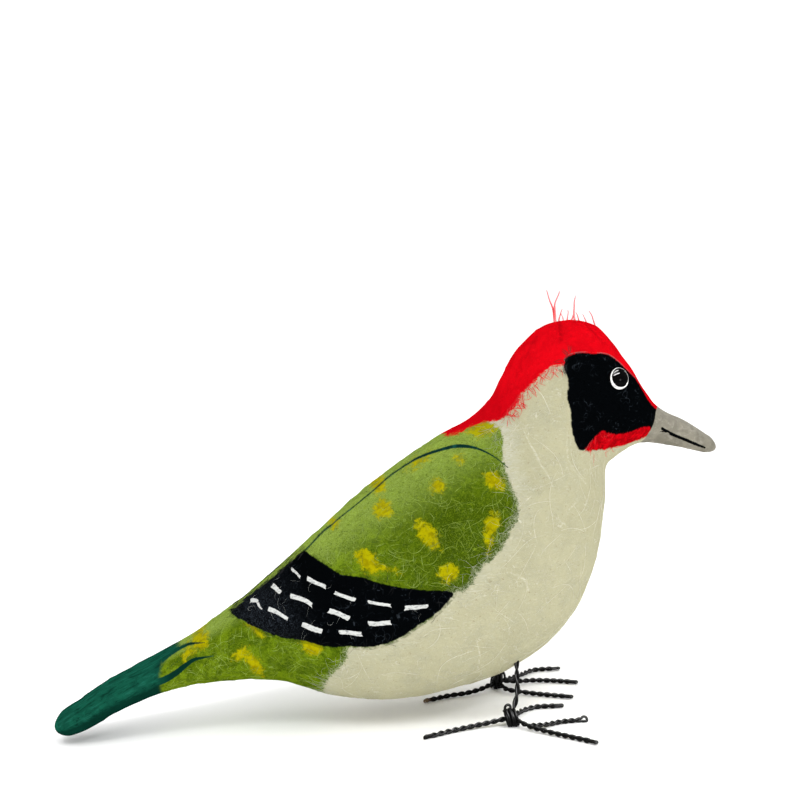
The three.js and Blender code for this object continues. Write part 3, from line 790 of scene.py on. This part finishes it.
class Surface:
    """Finds points and normals on the skin, in the bird's measures."""

    def __init__(self, skin):
        self.corners = [tuple(p.vertices) for p in skin.data.polygons]
        self.tree = BVHTree.FromPolygons([v.co for v in skin.data.vertices], self.corners)

    def from_side(self, x, z, side):
        """The point of the right (side -1) or left (side 1) flank that covers x, z."""
        hit, normal, _, _ = self.tree.ray_cast(place(x, side * BODY_WIDTH, z), Vector((0, -side, 0)))
        return (hit, normal) if hit else self.onto(place(x, side, z))

    def onto(self, point):
        hit, normal, _, _ = self.tree.find_nearest(point)
        return hit, normal

    def vertex_near(self, point):
        return self.corners[self.tree.find_nearest(point)[2]][0]


def tube(path, radius, sides=8, taper=0.0, pointed=False):
    """Points and faces of a closed tube along Vectors, thinner to its end by taper or pointed."""
    points = []
    across = (path[1] - path[0]).normalized().orthogonal().normalized()
    for i, centre in enumerate(path):
        before, after = path[max(i - 1, 0)], path[min(i + 1, len(path) - 1)]
        heading = (after - before).normalized()
        across = (across - heading * across.dot(heading)).normalized()
        up = heading.cross(across)
        size = radius * (1 - taper * i / (len(path) - 1))
        size *= 0.3 + 0.7 * math.sin(math.pi * i / (len(path) - 1)) if pointed else 1
        for j in range(sides):
            angle = 2 * math.pi * j / sides
            points.append(centre + size * (math.cos(angle) * across + math.sin(angle) * up))
    faces = grid_faces(len(path), sides)
    faces.append(tuple(range(sides))[::-1])
    last = (len(path) - 1) * sides
    faces.append(tuple(range(last, last + sides)))
    return points, faces


def gather(parts):
    """One list of points and one of faces from several."""
    points, faces = [], []
    for more_points, more_faces in parts:
        base = len(points)
        points.extend(more_points)
        faces.extend(tuple(base + i for i in face) for face in more_faces)
    return points, faces


def dress(piece, slot, *nodes):
    """Lets a piece ride on the body, in place of nodes of the part. The slot is not used."""
    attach(piece, "root")
    if nodes:
        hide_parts(*nodes)


# Eyes
def eye_points(side):
    """Gives the points round a bead: from a share of its radius, an angle up from the front and a
    height over its middle."""
    turn = math.radians(EYE_ANGLE if side > 0 else 180 - EYE_ANGLE)
    u = EYE_STATION / (STATION_COUNT - 1)
    step = 0.002
    around = body_points([u - step, u, u + step], np.array([turn - step, turn, turn + step]))
    out = Vector(np.cross(around[1, 2] - around[1, 0], around[2, 1] - around[0, 1])).normalized()
    centre = Vector(around[1, 1]) + out * (EYE_PROUD - EYE_THICKNESS / 2)
    forward = (Vector((1, 0, 0)) - out * out.x).normalized()
    up = forward.cross(out) * side

    def point(share, angle, height):
        radial = forward * math.cos(angle) + up * math.sin(angle)
        return place(*(centre + radial * (EYE_DIAMETER / 2 * share) + out * height))

    return point


EYE_ROWS, EYE_COLUMNS = 24, 48


def build_eye(word, material):
    point = eye_points(SIDES[word])
    points = []
    for i in range(EYE_ROWS + 1):
        polar = math.pi * i / EYE_ROWS
        for j in range(EYE_COLUMNS):
            angle = 2 * math.pi * j / EYE_COLUMNS
            points.append(point(math.sin(polar), angle, EYE_THICKNESS / 2 * math.cos(polar)))
    faces = grid_faces(EYE_ROWS + 1, EYE_COLUMNS, flipped=word == "right")
    return mesh_object("eye_bead_" + word, points, faces, material)


def glossy_black():
    look = Look("glossy_bead", 0.08, Specular_IOR_Level=0.0, Coat_Weight=0.06, Coat_Roughness=0.03)
    speck = look.noise(0.6, detail=3)
    look.wear(look.layers(BEAD, (BEAD_SPECK, speck, 0.55, 0.75)))
    look.roughen(speck, 0.3, 0.8, 0.05, 0.16)
    return look.material


def two_tone(name, colour, other, grain, reach, relief, **settings):
    """A look of one colour that goes over into another in grains of some relief."""
    look = Look(name, **settings)
    shade = look.noise(**grain)
    look.wear(look.layers(colour, (other, shade, *reach)))
    look.bump(shade, relief)
    return look.material


def white_paint(name, colour, thin):
    """White brush paint; thin is its colour where the ground shows through."""
    grain = {"size": 0.8, "detail": 4, "roughness": 0.7, "stretch": (0.4, 1, 1.4)}
    return two_tone(name, colour, thin, grain, (0.5, 0.68), 0.08, roughness=0.7, Specular_IOR_Level=0.1)


def fibre_look(name, colour, other):
    grain = {"size": 1.6, "detail": 3}
    return two_tone(name, colour, other, grain, (0.35, 0.65), 0.04, Specular_IOR_Level=0.08)


# The painted ring, in shares of the bead's radius: its middle line, half its width where it is
# thin, and what is added where it is thick and at the blob that the brush left. Angles are in
# degrees up from the front.
RING_STEPS = 72
RING_MIDDLE, RING_HALF, RING_THICK, RING_BLOB = 0.86, 0.016, 0.066, 0.06
RING_THICK_ANGLE, RING_BLOB_ANGLE, RING_BLOB_REACH = 252, 322, 10
RING_LIMIT = 0.985
# How high the paint stands on the bead at its edges and middle
RING_EDGE_HEIGHT, RING_MIDDLE_HEIGHT = 0.01, 0.07


def build_eye_ring(word, material):
    """A ring painted by hand round the bead: thick behind and below, thin above and in front."""
    side = SIDES[word]
    point = eye_points(side)
    lines = [[], [], []]
    for i in range(RING_STEPS):
        angle = 2 * math.pi * i / RING_STEPS
        heavy = (0.5 + 0.5 * math.cos(angle - math.radians(RING_THICK_ANGLE))) ** 1.5
        wobble = 0.004 * math.sin(3 * angle + 1) + 0.0025 * math.sin(7 * angle)
        middle = RING_MIDDLE + 0.02 * math.sin(2 * angle)
        blob = math.exp(-((math.degrees(angle) - RING_BLOB_ANGLE) / RING_BLOB_REACH) ** 2)
        half = RING_HALF + (RING_THICK + wobble) * heavy + RING_BLOB * blob
        for line, reach in zip(lines, (-half * side, 0, half * side)):
            share = min(middle + reach, RING_LIMIT)
            height = EYE_THICKNESS / 2 * math.sqrt(1 - share**2)
            height += RING_EDGE_HEIGHT if reach else RING_MIDDLE_HEIGHT
            line.append(point(share, angle, height))
    faces = grid_faces(3, RING_STEPS, flipped=True)
    return mesh_object("eye_ring_" + word, sum(lines, []), faces, material)


# Feet
def black_wire():
    look = Look("black_wire", roughness=0.42, Specular_IOR_Level=0.05)
    scratch = look.noise(0.9, detail=4, roughness=0.7)
    look.wear(look.layers(WIRE_PAINT, (WIRE_SCRATCH, scratch, 0.5, 0.8), (RUST, look.attribute("bare"))))
    look.roughen(scratch, 0.3, 0.75, 0.34, 0.6)
    look.bump(scratch, 0.05)
    return look.material


def toe_centre_line(start, length, bearings):
    step = (length - TIP_FOLD_LENGTH) / len(bearings)
    points = [np.array(start, float)]
    for i, bearing in enumerate(bearings):
        walked = (i + 1) / len(bearings)
        turn = math.radians(bearing)
        ahead = points[i] + (step * math.cos(turn), step * math.sin(turn), 0)
        ahead[2] = WIRE + (start[2] - WIRE) * (1 - walked) ** 3
        points.append(ahead)
    return points


def evenly(points, spacing):
    """Points spaced evenly along the smooth curve through points."""
    fine = curve_points(points, np.linspace(0, 1, 40 * len(points)))
    arc = arc_lengths(fine)
    at = np.linspace(0, arc[-1], max(int(arc[-1] / spacing), 8))
    return [Vector([np.interp(s, arc, fine[:, k]) for k in range(3)]) for s in at], arc[-1]


def twisted_pair(points, loop, phase=0.0, pitch=TWIST_PITCH):
    """Two strands of wire twisted along a curve, joined by a loop of radius and roll at its end."""
    radius, roll = loop or (0, 0)
    line, length = evenly(points, 0.35)
    across = Vector((0, 0, 1))
    out, back = [], []
    for i, centre in enumerate(line):
        before, after = line[max(i - 1, 0)], line[min(i + 1, len(line) - 1)]
        heading = (after - before).normalized()
        across = (across - heading * across.dot(heading)).normalized()
        up = heading.cross(across)
        left = 1 - i / (len(line) - 1)
        turn = math.pi / 2 + math.radians(roll) + 2 * math.pi * left * length / pitch + phase * left
        arm = math.cos(turn) * across + math.sin(turn) * up
        out.append(centre + arm * (WIRE / 2))
        back.append(centre - arm * (WIRE / 2))
    if not loop:
        return [out, back]
    heading = (line[-1] - line[-2]).normalized()
    arm = (out[-1] - back[-1]).normalized()
    first = math.asin(min(WIRE / 2 / radius, 1))
    reach = TIP_FOLD_LENGTH - WIRE / 2 - radius * (1 + math.cos(first))
    ahead = [line[-1] + heading * reach * k / 4 for k in range(1, 5)]
    fold = [centre + arm * (WIRE / 2) for centre in ahead]
    for i in range(1, 20):
        turn = first + (2 * math.pi - 2 * first) * i / 20
        reach = heading * (math.cos(first) - math.cos(turn)) + arm * math.sin(turn)
        fold.append(ahead[-1] + radius * reach)
    fold += [centre - arm * (WIRE / 2) for centre in ahead[::-1]]
    path = out + fold + back[::-1]
    for point in path:
        point.z = max(point.z, WIRE / 2 + 0.01)
    return [path]


def knot_path(knot, seed, slant):
    """Wraps of wire round the toes, wound along the foot with a little disorder."""
    steps = 32 * KNOT_WRAPS
    path = []
    for i in range(steps + 1):
        along = i / steps
        turn = 2 * math.pi * KNOT_WRAPS * along + seed
        bulge = 1 - 0.22 * (2 * along - 1) ** 2
        radius = (KNOT_RADIUS - WIRE / 2) * bulge + 0.14 * math.sin(1.7 * turn + seed)
        shift = (along - 0.5) * (KNOT_WRAPS - 0.6) * WIRE + 0.22 * math.sin(0.5 * turn + seed)
        shift += slant * math.sin(turn)
        point = Vector(knot) + Vector((shift, radius * math.cos(turn), radius * math.sin(turn)))
        point.z = max(point.z, WIRE / 2)
        path.append(point)
    return path


def eyelet_path(knot):
    """A small ring of wire left standing on top of the right foot's knot."""
    centre = Vector(knot) + Vector((-1.2, -0.8, KNOT_RADIUS + 0.35))
    turns = [math.radians(a) for a in range(-60, 241, 15)]
    ring = [Vector((math.cos(t), 0.12 * math.sin(2 * t), math.sin(t))) for t in turns]
    return [centre + point * EYELET_RADIUS for point in ring]


# The left rear toe's end is bare, rusty wire: the middle of that as a share of the toe, and how
# far the rust reaches from it
RUST_PLACE = 1.1
RUST_REACH = 2.6


def build_foot(word, material):
    side = SIDES[word]
    stance, toes = FEET[word]
    turn = math.radians(HIP_ANGLE if side > 0 else 180 - HIP_ANGLE)
    hip = body_points([HIP_STATION / (STATION_COUNT - 1)], np.array([turn]))[0, 0]
    knot = np.array([hip[0] + stance[0], hip[1] + stance[1], KNOT_HEIGHT])
    knee = knot + (hip - knot) * KNEE_SHARES
    axis = (hip - knee) / np.linalg.norm(hip - knee)
    leg = [knot, knee, hip - axis * LEG_STRAIGHT, hip + axis * LEG_ROOT]
    strands = twisted_pair(leg, None, pitch=LEG_PITCH)
    lines = {}
    for toe, (length, bearings, loop, *parent) in toes.items():
        lines[toe] = toe_centre_line(lines[parent[0]][1] if parent else knot, length, bearings)
        strands += twisted_pair(lines[toe], loop, phase=len(toe))
    strands.append(knot_path(knot, side + 2, 0.5 * side))
    if side < 0:
        strands.append(eyelet_path(knot))
    parts = [tube([place(*p) for p in path], WIRE / 2 * MM) for path in strands]
    core = [place(knot[0] + x, knot[1], knot[2]) for x in (-1.8, -0.9, 0, 0.9, 1.8)]
    parts.append(tube(core, (KNOT_RADIUS - WIRE) * MM, sides=20, pointed=True))
    points, faces = gather(parts)
    made = mesh_object("wire_foot_" + word, points, faces, material)
    tip = place(*(knot + (lines["rear"][-1] - knot) * RUST_PLACE))
    rust = [1 - (p - tip).length / (RUST_REACH * MM) for p in points]
    write_values(made, "bare", np.clip(rust, 0, 1 if side > 0 else 0))
    return made


# Crest: how deep a fibre is rooted, its steps, and its radius as a least part and a part that
# grows with its height
ROOT_DEPTH = 0.5
FIBRE_STEPS = 16
FIBRE_RADIUS, FIBRE_GROWTH = 0.24, 0.18


def build_crest(material):
    """Loose fibres standing on the crown: a tall forked pair behind, shorter ones in front."""
    rng = random.Random(5)
    parts = []
    for at, height, forward, left, bow in FIBRES:
        tall = CREST_HEIGHT * height
        top, _, _ = profile([(CREST_START + (CREST_END - CREST_START) * at) / (STATION_COUNT - 1)])
        root = Vector((top[0][0], 0, top[0][1] - ROOT_DEPTH))
        wave, phase = rng.uniform(0.015, 0.03), rng.uniform(0, 6)
        path = []
        for i in range(FIBRE_STEPS + 1):
            t = i / FIBRE_STEPS
            swing = bow * math.sin(math.pi * t) + wave * math.sin(3 * math.pi * t + phase) * t
            sway = wave * math.cos(2.5 * math.pi * t + phase) * t
            path.append(place(*(root + tall * Vector((forward * t + swing, left * t + sway, t)))))
        parts.append(tube(path, (FIBRE_RADIUS + FIBRE_GROWTH * height) * MM, sides=6, taper=0.6))
    return mesh_object("crest_fibre_tuft", *gather(parts), material)


# Fibres of paper on the skin, walked in steps of this length
FIBRE_STEP = 0.8


class Coat:
    """Grows fibres along the skin, from places that are chosen by what is painted there."""

    def __init__(self, skin, surface, attributes, areas):
        self.points = [v.co.copy() for v in skin.data.vertices]
        self.surface = surface
        self.at = attributes
        self.areas = areas

    def path(self, start, heading, length, curl, lift, rng, stay):
        point, normal = self.surface.onto(start)
        heading = (heading - normal * heading.dot(normal)).normalized()
        step = FIBRE_STEP * MM
        count = max(int(length * MM / step), 4)
        bend = rng.gauss(0, curl)
        path = [point + normal * lift * MM]
        for i in range(count):
            bend = 0.9 * bend + rng.gauss(0, curl * 0.4)
            turn = math.tan(max(-1, min(1, bend * step / MM)))
            heading = (heading + normal.cross(heading) * turn).normalized()
            point, normal = self.surface.onto(point + heading * step)
            heading = (heading - normal * heading.dot(normal)).normalized()
            if not stay[self.surface.vertex_near(point)]:
                break
            path.append(point + normal * lift * MM)
        return path

    def grow(self, name, material, count, where, stay, length, curl, radius, seed, toward=None, lift=0.04):
        rng = random.Random(seed)
        chances = self.areas * where
        picks = np.random.default_rng(seed).choice(len(chances), count, p=chances / chances.sum())
        parts = []
        for pick in picks:
            turn = rng.uniform(0, 2 * math.pi)
            heading = Vector((math.cos(turn), rng.uniform(-0.3, 0.3), math.sin(turn)))
            if toward:
                heading = heading * 0.7 + Vector((toward[0], 0, toward[1]))
            path = self.path(self.points[pick], heading, rng.uniform(*length), curl, lift, rng, stay)
            if len(path) > 2:
                parts.append(tube(path, rng.uniform(*radius) * MM, sides=4, pointed=True))
        return mesh_object(name, *gather(parts), material)


def grow_coat(skin, surface, attributes, areas):
    """Loose fibres: in the papers, and along their torn and painted borders."""
    coat = Coat(skin, surface, attributes, areas)
    at = attributes
    low_x = np.array([p.x for p in coat.points]) / MM - ORIGIN.x / MM
    low_z = np.array([p.z for p in coat.points]) / MM
    bare = at["line_width"] - np.abs(at["line_offset"]) < -0.25
    for painted in ("mask", "wing", "moustache", "beak"):
        bare &= at[painted] < -0.3
    below_red = at["red"] < -1
    cream = bare & (at["green"] < -1.5) & below_red
    green = bare & (at["green"] > 2) & (at["tail"] < -1) & below_red
    nape = (np.abs(at["red"]) < 1.2) & (low_x < 176) & (low_x > 155) & (at["green"] < -1)
    fringe = (np.abs(at["green"] - 0.6) < 1.8) & bare & (low_x > 88) & below_red
    chin = (np.abs(at["moustache"]) < 0.6) & (low_x < 193)
    brow = (np.abs(at["mask"]) < 0.5) & (low_x < 179) & (at["mask_top"] > 0.6)
    wing_border = np.abs(at["wing"]) < 0.4
    by_strips = np.full(len(low_x), FAR)
    for x, z, *_ in STRIPS:
        by_strips = np.minimum(by_strips, np.hypot(low_x - x, low_z - z))
    by_strips = (by_strips < 3.5) & (at["wing"] > 1)
    wing = at["wing"] > 0.5
    anywhere = np.ones(len(low_x), bool)
    pale = fibre_look("pale_fibre", CREAM_LIGHT, PALE_END)
    felt = fibre_look("felt_fibre", FELT_DEEP, FELT)
    leaf = fibre_look("green_fibre", GREEN_LIGHT, GREEN_PALE)
    deep = fibre_look("deep_green_fibre", GREEN_DARK, GREEN_DEEP)
    scarlet = fibre_look("scarlet_fibre", RED, RED_DEEP)
    hair = fibre_look("black_hair", BLACK, HAIR_LIGHT)
    floss = fibre_look("white_floss", FLOSS, FLOSS_DEEP)
    # Name, look, count, where they start and stay, lengths, curl, radii, seed, and for some the
    # way they point and how high they lie
    for growth in (
        ("pale_fibres", pale, 230, cream, cream, (6, 24), 0.07, (0.04, 0.1), 21),
        ("green_fibres", leaf, 900, green, green, (2, 9), 0.3, (0.035, 0.08), 22),
        ("deep_green_fibres", deep, 260, green, green, (2, 6), 0.3, (0.03, 0.06), 23),
        ("red_threads", scarlet, 180, nape, bare, (1.2, 4.2), 0.25, (0.05, 0.12), 24, (0.35, -1)),
        ("fringe_threads", felt, 420, fringe, bare, (2, 7), 0.35, (0.02, 0.045), 25, (-0.6, -0.1), 0.06),
        ("moustache_threads", scarlet, 34, chin, anywhere, (2, 5), 0.3, (0.05, 0.08), 26, (0, -1)),
        ("black_hairs", hair, 60, brow, anywhere, (1, 2.6), 0.2, (0.03, 0.07), 27, (-0.3, 0.9)),
        ("wing_hairs", hair, 170, wing_border, anywhere, (0.8, 2), 0.3, (0.03, 0.06), 28),
        ("strip_floss", floss, 45, by_strips, wing, (2, 6), 0.5, (0.012, 0.03), 29, None, 0.16),
    ):
        dress(coat.grow(*growth), "paper_skin")


# White strips on the wings: the share of their measured length that is paint, how finely they
# are cut, and how high the paint stands at their edges and inside
STRIP_SHARE = 0.9
STRIP_COLUMNS, STRIP_ROWS = 16, 5
STRIP_EDGE_HEIGHT, STRIP_HEIGHT = 0.02, 0.13


def build_strips(surface, word, material):
    side = SIDES[word]
    parts = []
    faces = grid_faces(STRIP_COLUMNS + 1, STRIP_ROWS, closed=False, flipped=True)
    for x, z, tilt, length, width, sag in STRIPS:
        cos, sin = math.cos(math.radians(tilt)), math.sin(math.radians(tilt))
        rng = random.Random(int(x * 10 + z))
        points = []
        for i in range(STRIP_COLUMNS + 1):
            t = i / STRIP_COLUMNS
            ragged = 0.92 + 0.08 * math.sin(4 * t + x) + rng.uniform(-0.09, 0.09)
            for j in range(STRIP_ROWS)[::-side]:
                s = j / (STRIP_ROWS - 1) - 0.5
                along = (t - 0.5) * length * STRIP_SHARE
                along += (s + 0.3 * math.cos(6 * s)) * 0.5 * math.sin(x + z)
                across = s * width * ragged + sag * 4 * t * (1 - t) + 0.08 * math.sin(7 * t + z)
                spot = x + along * cos - across * sin, z + along * sin + across * cos
                hit, normal = surface.from_side(*spot, side)
                edge = j in (0, STRIP_ROWS - 1) or i in (0, STRIP_COLUMNS)
                points.append(hit + normal * (STRIP_EDGE_HEIGHT if edge else STRIP_HEIGHT) * MM)
        parts.append((points, faces))
    return mesh_object("wing_strips_" + word, *gather(parts), material)


# Stage
FLOOR_SIZE = 40.0
WORLD_STRENGTH = 1.2
# Lights: place in metres, width and height, power in watts. The panes are seen in the beads alone.
LIGHTS = {
    "key": ((-0.7, -1.3, 1.9), (0.6, 0.6), 14),
    "fill": ((1.5, -1.3, 0.35), (0.18, 0.18), 7),
    "upper pane": ((0.57, -0.64, 1.50), (1.35, 0.12), 300),
    "lower pane": ((0.70, -1.03, 1.17), (1.35, 0.12), 300),
}


def build_stage():
    half = FLOOR_SIZE / 2
    corners = [(-half, -half, 0), (half, -half, 0), (half, half, 0), (-half, half, 0)]
    paint = Look("pale_floor", roughness=0.9, Base_Color=(*FLOOR_WHITE, 1)).material
    mesh_object("floor", corners, [(0, 1, 2, 3)], paint, smooth=False)
    world = bpy.data.worlds.new("studio")
    world.use_nodes = True
    background = world.node_tree.nodes["Background"].inputs
    background["Color"].default_value = (1, 1, 1, 1)
    background["Strength"].default_value = WORLD_STRENGTH
    bpy.context.scene.world = world


def add_light(name, position, size, power):
    data = bpy.data.lights.new(name, "AREA")
    data.shape = "RECTANGLE"
    data.size, data.size_y = size
    data.energy = power
    lamp = stand(name, data)
    lamp.location = position
    target = (CAD_BOX[0] + CAD_BOX[1]) / 2
    lamp.rotation_euler = (target - Vector(position)).to_track_quat("-Z", "Y").to_euler()
    lamp.visible_diffuse = "pane" not in name


# Camera at the photograph's viewing angle
CAMERA_PLACE = (75.67, -445.3, 147.65)
CAMERA_PITCH, CAMERA_ROLL, CAMERA_YAW = 5.0, 3.0, 6.0
LENS, SENSOR = 59.56, 36.0


def build_camera():
    data = bpy.data.cameras.new("camera")
    data.lens = LENS
    data.sensor_width = SENSOR
    camera = stand("camera", data)
    yaw, pitch, roll = (math.radians(a) for a in (CAMERA_YAW, CAMERA_PITCH, CAMERA_ROLL))
    forward = Vector((math.sin(yaw), math.cos(yaw), -math.tan(pitch)))
    turn = forward.to_track_quat("-Z", "Y").to_matrix().to_4x4() @ Matrix.Rotation(-roll, 4, "Z")
    camera.matrix_world = Matrix.Translation(place(*CAMERA_PLACE)) @ turn
    bpy.context.scene.camera = camera
    bpy.context.scene.view_settings.view_transform = "Standard"


build_camera()
build_stage()
for name, (position, size, power) in LIGHTS.items():
    add_light(name, position, size, power)

skin, attributes, areas = build_skin()
dress(skin, "paper_skin", "body")
surface = Surface(skin)
grow_coat(skin, surface, attributes, areas)
bead, wire = glossy_black(), black_wire()
tuft_grain = {"size": 0.8, "detail": 3}
tuft = two_tone("red_fibre", CREST_RED, CREST_DEEP, tuft_grain, (0.35, 0.7), 0.05, roughness=0.75)
ring_paint = white_paint("ring_paint", RING_WHITE, RING_THIN)
strip_paint = white_paint("strip_paint", STRIP_WHITE, STRIP_THIN)
for word in SIDES:
    dress(build_eye(word, bead), "eye_bead", "eye_" + word)
    dress(build_eye_ring(word, ring_paint), "eye_bead")
    dress(build_foot(word, wire), "wire", "foot_" + word)
    dress(build_strips(surface, word, strip_paint), "paper_skin")
dress(build_crest(tuft), "paper_fibre", "crest_fibres")
